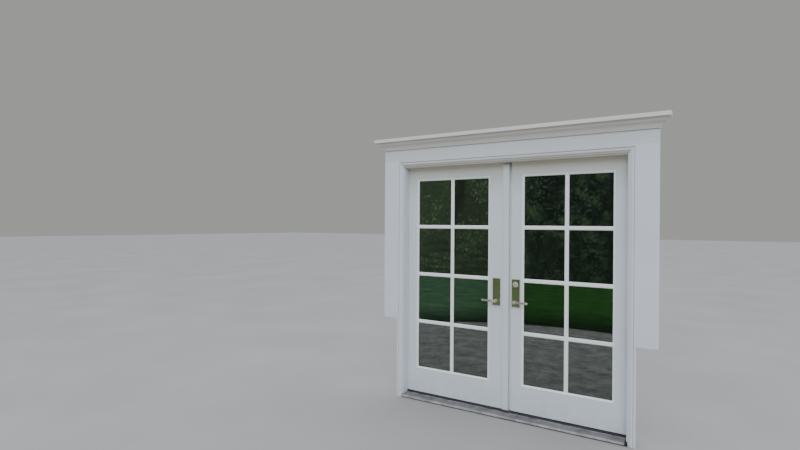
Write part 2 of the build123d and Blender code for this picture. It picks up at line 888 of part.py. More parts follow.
def furniture_plate(side, place):
    """A long rectangular plate with bevelled edges, bored for the lever's neck."""
    x = lock_x(side)
    ys = (leaf_face(place), plate_face(place))
    plate = block(about(x, plate_width), ys, (plate_low, plate_high))
    front = plate.faces().sort_by(Axis.Y)[0 if place == "outer" else -1]
    plate = chamfer(front.edges(), plate_bevel)
    plate -= rod(neck_radius + running_clearance, (x, leaf_face(place), lever_z), (0, facing_of(place), 0),
                 plate_thickness)
    if side == "right":
        radius = cylinder_radius if place == "outer" else plug_radius + running_clearance
        plate -= rod(radius, (x, leaf_face(place), cylinder_z), (0, facing_of(place), 0), plate_thickness)
    return plate


def lever(side, place):
    """A straight lever: a neck through the plate, a round hub and an oval arm with a rounded tip."""
    x, f = lock_x(side), facing_of(place)
    away = toward_hinge(side)
    face = plate_face(place)
    middle = face + f * neck_reach
    hub_foot = face + f * slide_clearance
    hub_length = neck_reach + lever_deep / 2 - slide_clearance
    neck = rod(neck_radius, (x, leaf_face(place), lever_z), (0, f, 0), plate_thickness + neck_reach)
    hub = rod(hub_radius, (x, hub_foot, lever_z), (0, f, 0), hub_length)
    hub = chamfer(hub.faces().sort_by(Axis.Y)[0 if f < 0 else -1].edges(), hub_bevel)
    section = Plane((x, middle, lever_z), x_dir=(0, 1, 0), z_dir=(away, 0, 0)) * Ellipse(lever_deep / 2,
                                                                                         lever_tall / 2)
    arm = extrude(section, amount=lever_length)
    arm = fillet(arm.faces().sort_by(Axis.X)[-1 if away > 0 else 0].edges(), lever_tip_round)
    return neck + hub + arm


def outer_lever(side):
    """The outer lever, with a square socket for the spindle."""
    socket = spindle_width + 2 * spindle_clearance
    ys = (leaf_outer, leaf_outer - spindle_grip)
    return lever(side, "outer") - block(about(lock_x(side), socket), ys, about(lever_z, socket))


def inner_lever(side):
    """The inner lever, with the square spindle that turns the lock and the outer lever."""
    start = leaf_outer - spindle_grip + slide_clearance
    return lever(side, "inner") + block(about(lock_x(side), spindle_width), (start, leaf_inner),
                                        about(lever_z, spindle_width))


def lock_cylinder():
    """The key cylinder's housing, with a domed flange on the outer plate."""
    x = lock_x("right")
    face = plate_face("outer")
    case_side = leaf_middle - case_thickness / 2
    body = rod(cylinder_radius, (x, case_side, cylinder_z), (0, -1, 0), case_side - face)
    flange = rod(cylinder_flange_radius, (x, face, cylinder_z), (0, -1, 0), cylinder_flange)
    rim = flange.faces().sort_by(Axis.Y)[0].edges()
    flange = chamfer(rim, flange_bevel)
    bore = rod(plug_radius + running_clearance, (x, case_side, cylinder_z), (0, -1, 0),
               case_side - face + cylinder_flange)
    return body + flange - bore


def key_plug():
    """The turning plug, with a key slot in its outer end."""
    x = lock_x("right")
    front = plate_face("outer") - cylinder_flange - plug_proud
    plug = rod(plug_radius, (x, leaf_middle - slide_clearance, cylinder_z), (0, -1, 0),
               leaf_middle - slide_clearance - front)
    slot = block(about(x, key_slot_width), (front, front + key_slot_depth),
                 about(cylinder_z, key_slot_height))
    return plug - slot


def thumbturn():
    """The turn on the inside: a stem through the plate, a round base and a flat grip."""
    x = lock_x("right")
    face = plate_face("inner")
    stem = rod(plug_radius, (x, leaf_middle + slide_clearance, cylinder_z), (0, 1, 0),
               face - leaf_middle + thumb_base / 2)
    base = rod(thumb_radius, (x, face + slide_clearance, cylinder_z), (0, 1, 0), thumb_base)
    base = chamfer(base.faces().sort_by(Axis.Y)[-1].edges(), thumb_bevel)
    grip = block(about(x, thumb_grip_width), (face + thumb_base / 2, face + thumb_base + thumb_grip_height),
                 about(cylinder_z, thumb_grip_length))
    grip = fillet(grip.edges().filter_by(Axis.X).group_by(Axis.Y)[-1], thumb_round)
    return stem + base + grip


def shared_pieces():
    """The frame, its trim and what is fixed to it."""
    pieces = {
        "sill_base": sill_base(), "sill_deck": sill_deck(), "sill_cap": sill_cap(),
        "head_jamb": head_jamb(), "frame_weatherstrip": frame_weatherstrip(),
        "head_brickmould": brickmould_head(), "head_casing": head_casing(),
        "crown_moulding": crown_moulding(), "crown_cap": crown_cap(),
        "jamb_hinge_plates": jamb_hinge_plates(), "hinge_pins": hinge_pins(),
        "bolt_strikes": bolt_strikes()}
    for side in sides:
        pieces[side + "_jamb"] = jamb(side)
        pieces[side + "_brickmould"] = brickmould_leg(side)
        pieces[side + "_casing"] = casing_leg(side)
    return pieces


def leaf_pieces(side):
    """One leaf with its glazing and furniture."""
    makers = {
        "hinge_stile": hinge_stile, "lock_stile": lock_stile, "top_rail": top_rail,
        "bottom_rail": bottom_rail, "glass_panes": glass_panes, "glass_spacer": glass_spacer,
        "glazing_beads": glazing_beads, "glazing_bars": glazing_bars,
        "leaf_hinge_plates": leaf_hinge_plates, "door_sweep": door_sweep, "lock_case": lock_case,
        "outer_lever": outer_lever, "inner_lever": inner_lever}
    pieces = {side + "_" + name: maker(side) for name, maker in makers.items()}
    for place in ("outer", "inner"):
        pieces[side + "_" + place + "_plate"] = furniture_plate(side, place)
    return pieces


def meeting_pieces():
    """What only one of the leaves carries."""
    return {
        "astragal": astragal(), "astragal_seal": astragal_seal(), "astragal_strike": astragal_strike(),
        "left_top_bolt": top_bolt(), "left_bottom_bolt": bottom_bolt(), "right_latch_bolt": latch_bolt(),
        "right_deadbolt": deadbolt(), "right_lock_cylinder": lock_cylinder(), "right_key_plug": key_plug(),
        "right_thumbturn": thumbturn()}


os.makedirs("parts", exist_ok=True)
all_pieces = shared_pieces()
for side in sides:
    all_pieces.update(leaf_pieces(side))
all_pieces.update(meeting_pieces())
for name, piece in all_pieces.items():
    export_step(piece, "parts/" + name + ".step")
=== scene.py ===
import math

import bmesh
import bpy
from mathutils import Matrix, Vector


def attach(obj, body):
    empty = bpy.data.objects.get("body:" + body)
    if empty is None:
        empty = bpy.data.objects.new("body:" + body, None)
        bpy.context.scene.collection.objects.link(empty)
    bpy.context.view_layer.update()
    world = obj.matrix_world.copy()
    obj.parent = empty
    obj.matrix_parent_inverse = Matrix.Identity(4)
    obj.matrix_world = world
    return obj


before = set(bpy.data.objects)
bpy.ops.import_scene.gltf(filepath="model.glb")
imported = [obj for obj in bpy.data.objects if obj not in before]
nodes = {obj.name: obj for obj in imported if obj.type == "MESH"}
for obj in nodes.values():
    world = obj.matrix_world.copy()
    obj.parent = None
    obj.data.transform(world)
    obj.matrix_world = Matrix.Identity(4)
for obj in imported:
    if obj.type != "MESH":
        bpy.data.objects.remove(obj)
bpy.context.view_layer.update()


# The view: from the right of the doors, at eye level, and looking to the left.
# The lens and the place come from a camera fitted to the straight edges of the doors.

eye_place = (1.457, -3.839, 1.546)
turned_left, bent_down, leaning = 0.5641, 0.0014, 0.0067
eye_level_lens = bpy.data.cameras.new("eye_level_lens")
eye_level_lens.sensor_width = 36.0
eye_level_lens.lens = 22.61
eye_level_view = bpy.data.objects.new("eye_level_view", eye_level_lens)
eye_level_view.matrix_world = (Matrix.Translation(eye_place) @ Matrix.Rotation(turned_left, 4, "Z")
                               @ Matrix.Rotation(math.pi / 2 - bent_down, 4, "X")
                               @ Matrix.Rotation(leaning, 4, "Z"))
bpy.context.scene.collection.objects.link(eye_level_view)
bpy.context.scene.camera = eye_level_view


# The sill's core: pressed wood fibre and resin, dark and faintly speckled. It is sawn to the frame's width,
# lies under the deck and the cap and carries both, and shows only at its ends.

def set_sockets(tree, node, sockets):
    """Each socket of a node takes a value, or another node's output."""
    for key, value in sockets.items():
        if isinstance(value, bpy.types.NodeSocket):
            tree.links.new(value, node.inputs[key])
        else:
            node.inputs[key].default_value = value


def add_node(tree, kind, sockets=None, **settings):
    """A shader node with its settings and its sockets."""
    made = tree.nodes.new(kind)
    for name, value in settings.items():
        setattr(made, name, value)
    set_sockets(tree, made, sockets or {})
    return made


def place_on(tree):
    """The place on the doors, in metres, which stays with each body as it moves."""
    return add_node(tree, "ShaderNodeTexCoord").outputs["Object"]


def drawn_out(tree, place, stretch):
    """The place scaled by its own share each way, so that a pattern laid on it is long and narrow."""
    return add_node(tree, "ShaderNodeVectorMath", {0: place, 1: stretch}, operation="MULTIPLY").outputs[0]


def mottle(tree, place, scale=1.0, detail=3.0, roughness=0.5):
    """Cloudy noise, counted in clouds per metre."""
    return add_node(tree, "ShaderNodeTexNoise", {"Vector": place, "Scale": scale, "Detail": detail,
                                                 "Roughness": roughness}).outputs[0]


def eased(tree, value, low, high, to=(0.0, 1.0)):
    """A value brought from one range to another and held within it."""
    return add_node(tree, "ShaderNodeMapRange", {0: value, 1: low, 2: high, 3: to[0], 4: to[1]},
                    clamp=True).outputs[0]


def mixed(tree, share, first, second):
    """A colour between two, by a mask."""
    return add_node(tree, "ShaderNodeMix", {0: share, 6: first, 7: second}, data_type="RGBA").outputs[2]


def raised(tree, height, strength, depth):
    """The way a surface faces once a fine relief lies on it."""
    return add_node(tree, "ShaderNodeBump", {"Height": height, "Strength": strength,
                                             "Distance": depth}).outputs[0]


def new_finish(name):
    """An empty material, its nodes and its principled shader."""
    finish = bpy.data.materials.new(name)
    finish.use_nodes = True
    return finish, finish.node_tree, finish.node_tree.nodes["Principled BSDF"]


def give_finish(finish, *names):
    """The finish on every slot of the named CAD nodes."""
    for name in names:
        slots = nodes[name].data.materials
        for index in range(len(slots)):
            slots[index] = finish


def core_finish():
    """Dark fibres that lie along the sill."""
    finish, tree, surface = new_finish("sill_core")
    fibres = mottle(tree, drawn_out(tree, place_on(tree), (40.0, 420.0, 420.0)), detail=4.0)
    resin, wood = (0.045, 0.041, 0.037, 1), (0.095, 0.088, 0.08, 1)
    set_sockets(tree, surface, {"Base Color": mixed(tree, eased(tree, fibres, 0.3, 0.7), resin, wood),
                                "Normal": raised(tree, fibres, strength=0.4, depth=0.0006),
                                "Roughness": 0.72})
    return finish


give_finish(core_finish(), "sill_base")


# The sill's deck: drawn aluminium with low ribs, left as it came from the mill, weathered grey and scuffed.
# It is screwed to the core and turned down over the nose.

def split(tree, place):
    """A place's three distances: to the right, inward and up."""
    return tuple(add_node(tree, "ShaderNodeSeparateXYZ", {0: place}).outputs)


def reckoned(tree, operation, first, second):
    """Two values put together by one sum."""
    return add_node(tree, "ShaderNodeMath", {0: first, 1: second}, operation=operation).outputs[0]


def band(tree, value, start, full, close, end):
    """A mask that comes up between the first two values and goes again between the last two."""
    return reckoned(tree, "MULTIPLY", eased(tree, value, start, full), eased(tree, value, end, close))


def shaded(tree, colour, shade):
    """A colour made darker or lighter by a value."""
    grey = add_node(tree, "ShaderNodeCombineColor", {0: shade, 1: shade, 2: shade}).outputs[0]
    return add_node(tree, "ShaderNodeMix", {0: 1.0, 6: colour, 7: grey}, data_type="RGBA",
                    blend_type="MULTIPLY").outputs[2]


def new_group(name, inputs, outputs):
    """An empty shader group with named sockets, and its two ends."""
    group = bpy.data.node_groups.new(name, "ShaderNodeTree")
    for way, sockets in (("INPUT", inputs), ("OUTPUT", outputs)):
        for title, kind in sockets.items():
            group.interface.new_socket(title, in_out=way, socket_type="NodeSocket" + kind)
    return group, group.nodes.new("NodeGroupInput").outputs, group.nodes.new("NodeGroupOutput")


def metal_skin_group():
    """Drawn or rubbed metal: fine lines along the work, cloudy tarnish, and rub marks."""
    group, given, out = new_group(
        "metal_skin", {"Metal": "Color", "Tarnish": "Color", "Line stretch": "Vector",
                       "Tarnish share": "Float", "Roughness": "Float", "Line depth": "Float"},
        {"Color": "Color", "Roughness": "Float", "Normal": "Vector"})
    place = place_on(group)
    lines = mottle(group, drawn_out(group, place, given["Line stretch"]), detail=4.0, roughness=0.6)
    clouds = mottle(group, place, scale=14.0, detail=5.0, roughness=0.6)
    specks = mottle(group, place, scale=260.0, detail=2.0)
    spread = reckoned(group, "MULTIPLY", eased(group, clouds, 0.38, 0.68), given["Tarnish share"])
    toned = mixed(group, spread, given["Metal"], given["Tarnish"])
    uneven = reckoned(group, "ADD", eased(group, clouds, 0.3, 0.7, to=(-0.06, 0.10)),
                      eased(group, specks, 0.3, 0.7, to=(-0.03, 0.03)))
    speck_relief = 0.35
    relief = reckoned(group, "ADD", lines, reckoned(group, "MULTIPLY", specks, speck_relief))
    set_sockets(group, out, {
        "Color": shaded(group, toned, eased(group, lines, 0.25, 0.75, to=(0.86, 1.08))),
        "Roughness": reckoned(group, "ADD", given["Roughness"], uneven),
        "Normal": raised(group, relief, strength=given["Line depth"], depth=0.0004)})
    return group


metal_skin = metal_skin_group()


def cover(tree, surface, group, settings):
    """A finish group with its own settings, laid on a surface."""
    film = add_node(tree, "ShaderNodeGroup", settings, node_tree=group).outputs
    set_sockets(tree, surface, {"Base Color": film["Color"], "Roughness": film["Roughness"],
                                "Normal": film["Normal"]})


def deck_finish():
    """Bare where feet rub the ribs' tops and the back ridge, and dull between the ribs. The nose is painted
    pale as a highlight, the joints along the leaves and at the right end are painted near black as shade, and
    the tarnish deepens towards the leaves, partly dirt and partly painted shade."""
    finish, tree, surface = new_finish("weathered_deck")
    place = place_on(tree)
    x, y = split(tree, place)[:2]

    streaks = mottle(tree, drawn_out(tree, place, (5.0, 150.0, 150.0)), roughness=0.6)
    dull, pale = (0.135, 0.135, 0.148, 1), (0.30, 0.293, 0.312, 1)
    metal = mixed(tree, eased(tree, streaks, 0.36, 0.64), dull, pale)

    rib_pitch, first_rib, rib_scuffed = 0.009, -0.011, (0.39, 0.383, 0.405, 1)
    past_rib = reckoned(tree, "MODULO", reckoned(tree, "ADD", y, 10 * rib_pitch - first_rib), rib_pitch)
    metal = mixed(tree, band(tree, past_rib, 0.0, 0.0008, 0.0026, 0.0034), metal, rib_scuffed)

    ridge, ridge_share, ridge_scuffed = (0.038, 0.043, 0.048, 0.053), 0.8, (0.52, 0.51, 0.53, 1)
    on_ridge = reckoned(tree, "MULTIPLY", band(tree, y, *ridge), ridge_share)
    metal = mixed(tree, on_ridge, metal, ridge_scuffed)

    # The nose is painted pale as a highlight where its rounded face catches the sky.
    nose_start, nose_full, nose_highlight = -0.0185, -0.0225, (0.66, 0.65, 0.65, 1)
    metal = mixed(tree, eased(tree, y, nose_start, nose_full), metal, nose_highlight)

    # The joints along the leaves and at the right end are painted near black as shade, and the tarnish
    # deepens towards the leaves, partly dirt and partly painted shade.
    tarnish, joint_shade = (0.15, 0.142, 0.155, 1), (0.030, 0.030, 0.034, 1)
    along_leaves, right_end = eased(tree, y, 0.050, 0.058), eased(tree, x, 0.909, 0.915)
    joint = reckoned(tree, "MAXIMUM", along_leaves, right_end)
    cover(tree, surface, metal_skin, {
        "Metal": mixed(tree, joint, metal, joint_shade), "Tarnish": mixed(tree, joint, tarnish, joint_shade),
        "Tarnish share": eased(tree, y, 0.0, 0.052, to=(0.55, 1.3)),
        "Line stretch": (3.0, 300.0, 300.0), "Roughness": 0.5, "Line depth": 0.6})
    set_sockets(tree, surface, {"Metallic": 0.5})
    return finish


give_finish(deck_finish(), "sill_deck")


# The frame: two side jambs and a head of primed pine, rabbeted for the leaves and housed at the corners, and
# the sill's cap. All are painted as every board here is: two brushed coats of satin white, with dust on the
# ledges and splashes low down. The head's underside is painted a warmer, duller white as shade, and the sill
# cap's face in the gap below the leaves is painted near black as shade.

def paint_film_group():
    """A painted board: brush lines along it, a soft drift of tone, dust on its ledges and low splashes."""
    group, given, out = new_group(
        "paint_film", {"Paint": "Color", "Dirt": "Color", "Brush stretch": "Vector", "Dirt share": "Float"},
        {"Color": "Color", "Roughness": "Float", "Normal": "Vector"})
    place = place_on(group)
    height = split(group, place)[2]
    facing_up = split(group, add_node(group, "ShaderNodeNewGeometry").outputs["True Normal"])[2]
    brush = mottle(group, drawn_out(group, place, given["Brush stretch"]), roughness=0.55)
    drift = mottle(group, place, scale=2.2, detail=4.0, roughness=0.55)
    peel = mottle(group, place, scale=620.0, detail=1.0)

    least_dust, splash_top, splash_full = 0.35, 0.26, 0.02
    patches = eased(group, mottle(group, place, scale=11.0, detail=5.0, roughness=0.65), 0.36, 0.72)
    ledge = reckoned(group, "MULTIPLY", eased(group, facing_up, 0.55, 0.95),
                     reckoned(group, "ADD", patches, least_dust))
    splash = reckoned(group, "MULTIPLY", eased(group, height, splash_top, splash_full), patches)
    soiled = reckoned(group, "MULTIPLY", reckoned(group, "ADD", ledge, splash), given["Dirt share"])

    brush_share, peel_share, dirt_dulling = 0.3, 0.25, 0.3
    streaky = reckoned(group, "ADD", drift, reckoned(group, "MULTIPLY", brush, brush_share))
    clean = shaded(group, given["Paint"], eased(group, streaky, 0.45, 0.85, to=(0.955, 1.0)))
    sheen = eased(group, drift, 0.3, 0.7, to=(0.34, 0.46))
    relief = reckoned(group, "ADD", brush, reckoned(group, "MULTIPLY", peel, peel_share))
    set_sockets(group, out, {
        "Color": mixed(group, soiled, clean, given["Dirt"]),
        "Roughness": reckoned(group, "ADD", sheen, reckoned(group, "MULTIPLY", soiled, dirt_dulling)),
        "Normal": raised(group, relief, strength=0.22, depth=0.0005)})
    return group


paint_film = paint_film_group()
splash_dirt = (0.40, 0.37, 0.32, 1)
brushed_up, brushed_across = (330.0, 330.0, 5.0), (5.0, 330.0, 330.0)


def brush_on(tree, surface, stretch, paint, dirt_share=0.35):
    """The paint film on a surface, with its brush lines drawn out along the board."""
    cover(tree, surface, paint_film, {"Paint": paint, "Dirt": splash_dirt, "Brush stretch": stretch,
                                      "Dirt share": dirt_share})


def painted(name, stretch, paint, dirt_share=0.35):
    """Paint of one colour all over."""
    finish, tree, surface = new_finish(name)
    brush_on(tree, surface, stretch, paint, dirt_share)
    return finish


def off_middle(tree, value):
    """How far a value lies from nought, on either side."""
    return reckoned(tree, "ABSOLUTE", value, 0.0)


def shade_line_group():
    """Painted shade lying in a line: none at its two edges, deepest in between, and paint on both sides of
    it.
    """
    group, given, out = new_group(
        "shade_line", {"Paint": "Color", "Line shade": "Color", "At": "Float", "Start": "Float", "Full": "Float",
                       "Close": "Float", "End": "Float"}, {"Color": "Color"})
    line = band(group, off_middle(group, given["At"]), given["Start"], given["Full"], given["Close"],
                given["End"])
    share = reckoned(group, "POWER", line, 2.0)
    set_sockets(group, out, {"Color": mixed(group, share, given["Paint"], given["Line shade"])})
    return group


shade_line = shade_line_group()
to_right, inward, upward = range(3)


def shade_lined(name, stretch, paint, *lines):
    """Paint with painted shade laid in lines. A line gives the way that it is counted, the four places where
    it starts, is full, thins again and ends, and the colour of its shade."""
    finish, tree, surface = new_finish(name)
    distances = split(tree, place_on(tree))
    for way, (start, full, close, end), shade_colour in lines:
        paint = add_node(tree, "ShaderNodeGroup", {
            "Paint": paint, "Line shade": shade_colour, "At": distances[way], "Start": start, "Full": full,
            "Close": close, "End": end}, node_tree=shade_line).outputs["Color"]
    brush_on(tree, surface, stretch, paint)
    return finish


frame_white = (0.735, 0.785, 0.875, 1)
upright_paint = painted("upright_paint", brushed_up, frame_white)
give_finish(upright_paint, "left_jamb", "right_jamb")
# The head jamb's outer underside is painted a warmer, duller white as shade.
soffit_shade = (inward, (-1.0, -0.5, 0.066, 0.074), (0.757, 0.746, 0.70, 1))
give_finish(shade_lined("soffit_paint", brushed_across, frame_white, soffit_shade), "head_jamb")
# The sill cap's face in the gap below the leaves is painted near black as shade.
gap_shade = (inward, (-1.0, -0.5, 0.0765, 0.0845), (0.058, 0.058, 0.062, 1))
give_finish(shade_lined("sill_cap_paint", brushed_across, frame_white, gap_shade), "sill_cap")


# The weather strips: foam in a dark vinyl skin, pushed by a tongue into kerfs in the stops.
# The sweeps under the leaves are of the same stuff, extruded.

def vinyl_finish(name, skin, bloom):
    """Soft vinyl with a fine grain, and a paler bloom in clouds."""
    finish, tree, surface = new_finish(name)
    place = place_on(tree)
    grain = mottle(tree, place, scale=420.0)
    clouds = mottle(tree, place, scale=24.0, detail=4.0)
    set_sockets(tree, surface, {"Base Color": mixed(tree, eased(tree, clouds, 0.35, 0.75), skin, bloom),
                                "Roughness": eased(tree, grain, 0.3, 0.7, to=(0.58, 0.76)),
                                "Normal": raised(tree, grain, strength=0.35, depth=0.0003)})
    return finish


dark_vinyl = vinyl_finish("dark_vinyl", (0.014, 0.014, 0.016, 1), (0.045, 0.045, 0.048, 1))
give_finish(dark_vinyl, "frame_weatherstrip", "left_door_sweep", "right_door_sweep")


# The outside trim: brickmould round the opening and flat boards beside and over it, primed wood, nailed
# through the face, filled and painted. The legs' brush lines run up and the heads' run across. The head's
# boards are a darker white than the legs'. Shade is painted darker in the grooves and on the head's lip, and
# a painted shadow line lies under the crown.

head_white = (0.69, 0.745, 0.80, 1)
give_finish(upright_paint, "left_casing", "right_casing")
# Painted shade in the legs' grooves.
leg_groove_shade = (to_right, (0.9625, 0.9646, 0.9690, 0.9712), (0.6615, 0.7065, 0.7875, 1))
give_finish(shade_lined("leg_mould_paint", brushed_up, frame_white, leg_groove_shade),
            "left_brickmould", "right_brickmould")
# Painted shade in the head's groove and on its lip.
head_groove_shade = (upward, (2.0885, 2.0925, 2.0985, 2.1005), (0.5175, 0.5513, 0.592, 1))
head_lip_shade = (upward, (2.0, 2.01, 2.0745, 2.0785), (0.5796, 0.5886, 0.56, 1))
give_finish(shade_lined("head_mould_paint", brushed_across, head_white, head_groove_shade, head_lip_shade), "head_brickmould")
# A painted shadow along the head board's top, under the crown.
under_crown_shadow = (upward, (2.194, 2.2085, 2.30, 2.31), (0.4692, 0.4992, 0.52, 1))
give_finish(shade_lined("head_board_paint", brushed_across, head_white, under_crown_shadow), "head_casing")


# The crown over the head board and the drip board on it: moulded and planed pine, mitred at its returns and
# nailed up. The same paint in a warmer white, a painted tint of warm light bounced up under the crown,
# painted darker as shade towards the crown's foot, with dust lying on the top.

crown_warm_white, cap_dirt_share = (0.76, 0.765, 0.775, 1), 0.5
crown_brushed = (5.0, 300.0, 300.0)
# Painted shade towards the crown's foot.
crown_foot_shade = (upward, (2.0, 2.1, 2.222, 2.245), (0.6384, 0.635, 0.6433, 1))
give_finish(painted("cap_paint", crown_brushed, crown_warm_white, cap_dirt_share), "crown_cap")
give_finish(shade_lined("crown_paint", crown_brushed, crown_warm_white, crown_foot_shade), "crown_moulding")


# The hinges: three a side, of brass plate rolled into knuckles round a loose pin, let in flush with the wood.
# Each plate is held by four countersunk screws, set in two staggered rows.

def metal_finish(name, settings, bare=1.0):
    """A metal that is alike all over its pieces. Under lacquer it is less bare."""
    finish, tree, surface = new_finish(name)
    cover(tree, surface, metal_skin, settings)
    set_sockets(tree, surface, {"Metallic": bare})
    return finish


satin_brass = metal_finish("satin_brass", {
    "Metal": (0.62, 0.49, 0.25, 1), "Tarnish": (0.33, 0.25, 0.13, 1), "Tarnish share": 0.55,
    "Line stretch": (30.0, 30.0, 520.0), "Roughness": 0.26, "Line depth": 0.25})
give_finish(satin_brass, "jamb_hinge_plates", "hinge_pins", "left_leaf_hinge_plates",
            "right_leaf_hinge_plates")


def screw_head(radius, dome):
    """A countersunk head with a cross recess, its outside facing up Z."""
    head = bpy.data.meshes.new("screw_head")
    shape = bmesh.new()
    arm, core, sink = radius * 0.55, radius * 0.16, -radius * 0.3
    tip, taper = core * 0.6, 0.8
    cross = []
    for quarter in range(4):
        turn = Matrix.Rotation(quarter * math.pi / 2, 3, "Z")
        cross += [turn @ Vector(corner) for corner in ((core, core, 0), (tip, arm, 0), (-tip, arm, 0))]
    corners, steps = len(cross), 2 * len(cross)
    rings = ((0.86, dome * 0.9), (1.0, dome * 0.35), (1.0, 0.0))
    lip = [shape.verts.new((p.x, p.y, dome)) for p in cross]
    recess = [shape.verts.new((p.x * taper, p.y * taper, sink)) for p in cross]
    for ring_at, (size, height) in enumerate(rings):
        ring = []
        for p in cross:
            for half in (-0.5, 0.5):
                angle = math.atan2(p.y, p.x) + half * math.pi / corners
                ring.append(shape.verts.new((size * radius * math.cos(angle),
                                             size * radius * math.sin(angle), height)))
        if ring_at == 0:
            for index in range(corners):
                after = (index + 1) % corners
                shape.faces.new((lip[index], ring[2 * index], ring[2 * index + 1]))
                shape.faces.new((lip[index], ring[2 * index + 1], ring[2 * after], lip[after]))
        else:
            for index in range(steps):
                after = (index + 1) % steps
                shape.faces.new((last[index], ring[index], ring[after], last[after]))
        last = ring
    for index in range(corners):
        after = (index + 1) % corners
        shape.faces.new((recess[index], lip[index], lip[after], recess[after]))
    shape.faces.new(recess)
    bmesh.ops.recalc_face_normals(shape, faces=shape.faces)
    shape.to_mesh(head)
    shape.free()
    return head


def set_screws(name, spots, radius, finish, body, dome=0.0003):
    """Screw heads on one body, each driven to its own turn. A spot is a point on a face, and the way that the
    face looks."""
    head = screw_head(radius, dome)
    turn_step = 0.7
    gathered = bmesh.new()
    for index, (spot, facing) in enumerate(spots):
        seat = Vector(facing).to_track_quat("Z", "Y").to_matrix().to_4x4()
        turned = Matrix.Rotation(turn_step * index * (index + 1), 4, "Z")
        start = len(gathered.verts)
        gathered.from_mesh(head)
        gathered.verts.ensure_lookup_table()
        bmesh.ops.transform(gathered, matrix=Matrix.Translation(spot) @ seat @ turned,
                            verts=gathered.verts[start:])
    mesh = bpy.data.meshes.new(name)
    gathered.to_mesh(mesh)
    gathered.free()
    mesh.materials.append(finish)
    piece = bpy.data.objects.new(name, mesh)
    bpy.context.scene.collection.objects.link(piece)
    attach(piece, body)


jamb_face, leaf_edge = 0.93425, 0.93125
hinge_middles, screw_rises = (0.348, 1.0905, 1.833), (-0.039, -0.015, 0.015, 0.039)
outer_row, inner_row = 0.087, 0.101
hinge_screw = 0.0042


def hinge_spots(side, face_x, facing):
    """Four screws on each hinge plate of one side, the end ones in the outer row."""
    spots = []
    for middle in hinge_middles:
        for rise in screw_rises:
            row = outer_row if rise in (screw_rises[0], screw_rises[-1]) else inner_row
            spots.append(((side * face_x, row, middle + rise), (side * facing, 0, 0)))
    return spots


set_screws("jamb_hinge_screws", hinge_spots(-1, jamb_face, -1) + hinge_spots(1, jamb_face, -1), hinge_screw,
           satin_brass, "frame")
for leaf, side in (("left_leaf", -1), ("right_leaf", 1)):
    set_screws(leaf + "_hinge_screws", hinge_spots(side, leaf_edge, 1), hinge_screw, satin_brass, leaf)


# The leaves: stiles and rails of laminated pine, doweled and glued, painted after assembly. Their white is a
# little greener than the frame's, a painted tint of green bounced light. The outer face is painted greyer
# near the top as shade under the head, and the shallow rebate along the right leaf's meeting edge is painted
# darker as shade, darkest near the top.

# A painted tint: the leaves' white is greener than the frame's, for green bounced light.
leaf_white = (0.70, 0.777, 0.85, 1)


def leaf_tone(tree, y, z):
    """White on the leaf, with painted shade on its outer face near the top, under the head, and a paler warm
    tone along the very top edge as painted light.
    """
    low_head_shade, high_head_shade, top_edge_light = (0.58, 0.64, 0.645, 1), (0.645, 0.645, 0.60, 1), (0.82, 0.80, 0.74, 1)
    head_shade_tone = mixed(tree, eased(tree, z, 2.025, 2.05), high_head_shade, top_edge_light)
    head_shade_tone = mixed(tree, eased(tree, z, 1.96, 2.02), low_head_shade, head_shade_tone)
    outer_face = band(tree, y, 0.064, 0.070, 0.085, 0.095)
    share = reckoned(tree, "MULTIPLY", eased(tree, z, 1.78, 1.96), outer_face)
    return mixed(tree, share, leaf_white, head_shade_tone)


def leaf_paint(name, stretch):
    """Leaf white with its brush lines one way."""
    finish, tree, surface = new_finish(name)
    y, z = split(tree, place_on(tree))[1:]
    brush_on(tree, surface, stretch, leaf_tone(tree, y, z))
    return finish


def rebate_paint():
    """The same paint, painted darker as shade in the shallow rebate, darkest near the top."""
    finish, tree, surface = new_finish("rebate_paint")
    x, y, z = split(tree, place_on(tree))
    near_edge, sunk = eased(tree, x, 0.0515, 0.0495), eased(tree, y, 0.0722, 0.0745)
    # Painted shade in the rebate, deeper near the top.
    low_rebate_shade, high_rebate_shade = (0.60, 0.655, 0.675, 1), (0.36, 0.365, 0.355, 1)
    dust = mixed(tree, eased(tree, z, 1.86, 2.03), low_rebate_shade, high_rebate_shade)
    share = reckoned(tree, "MULTIPLY", near_edge, sunk)
    brush_on(tree, surface, brushed_up, mixed(tree, share, leaf_tone(tree, y, z), dust))
    return finish


upright_leaf_paint = leaf_paint("upright_leaf_paint", brushed_up)
level_leaf_paint = leaf_paint("level_leaf_paint", brushed_across)
give_finish(upright_leaf_paint, "left_hinge_stile", "left_lock_stile", "right_hinge_stile")
give_finish(rebate_paint(), "right_lock_stile")
give_finish(level_leaf_paint, "left_top_rail", "left_bottom_rail", "right_top_rail", "right_bottom_rail")


# The beads that hold the glass and the bars on both its faces: moulded in white vinyl, smoother than the
# boards and painted a little brighter as a highlight on their lit lips, mitred at the corners.

# A painted highlight: the beads' white is brighter than the boards'.
bead_lit_white, bead_dirt_share = (0.93, 0.985, 1.0, 1), 0.12
unbrushed = (60.0, 60.0, 60.0)
give_finish(painted("bead_paint", unbrushed, bead_lit_white, bead_dirt_share), "left_glazing_beads",
            "left_glazing_bars", "right_glazing_beads", "right_glazing_bars")


# The glass: two panes a leaf under a hard reflecting coat, faintly green and dark, with a trace of the
# rollers' wave and a thin film of dust. The spacer between them is bent from dull aluminium.

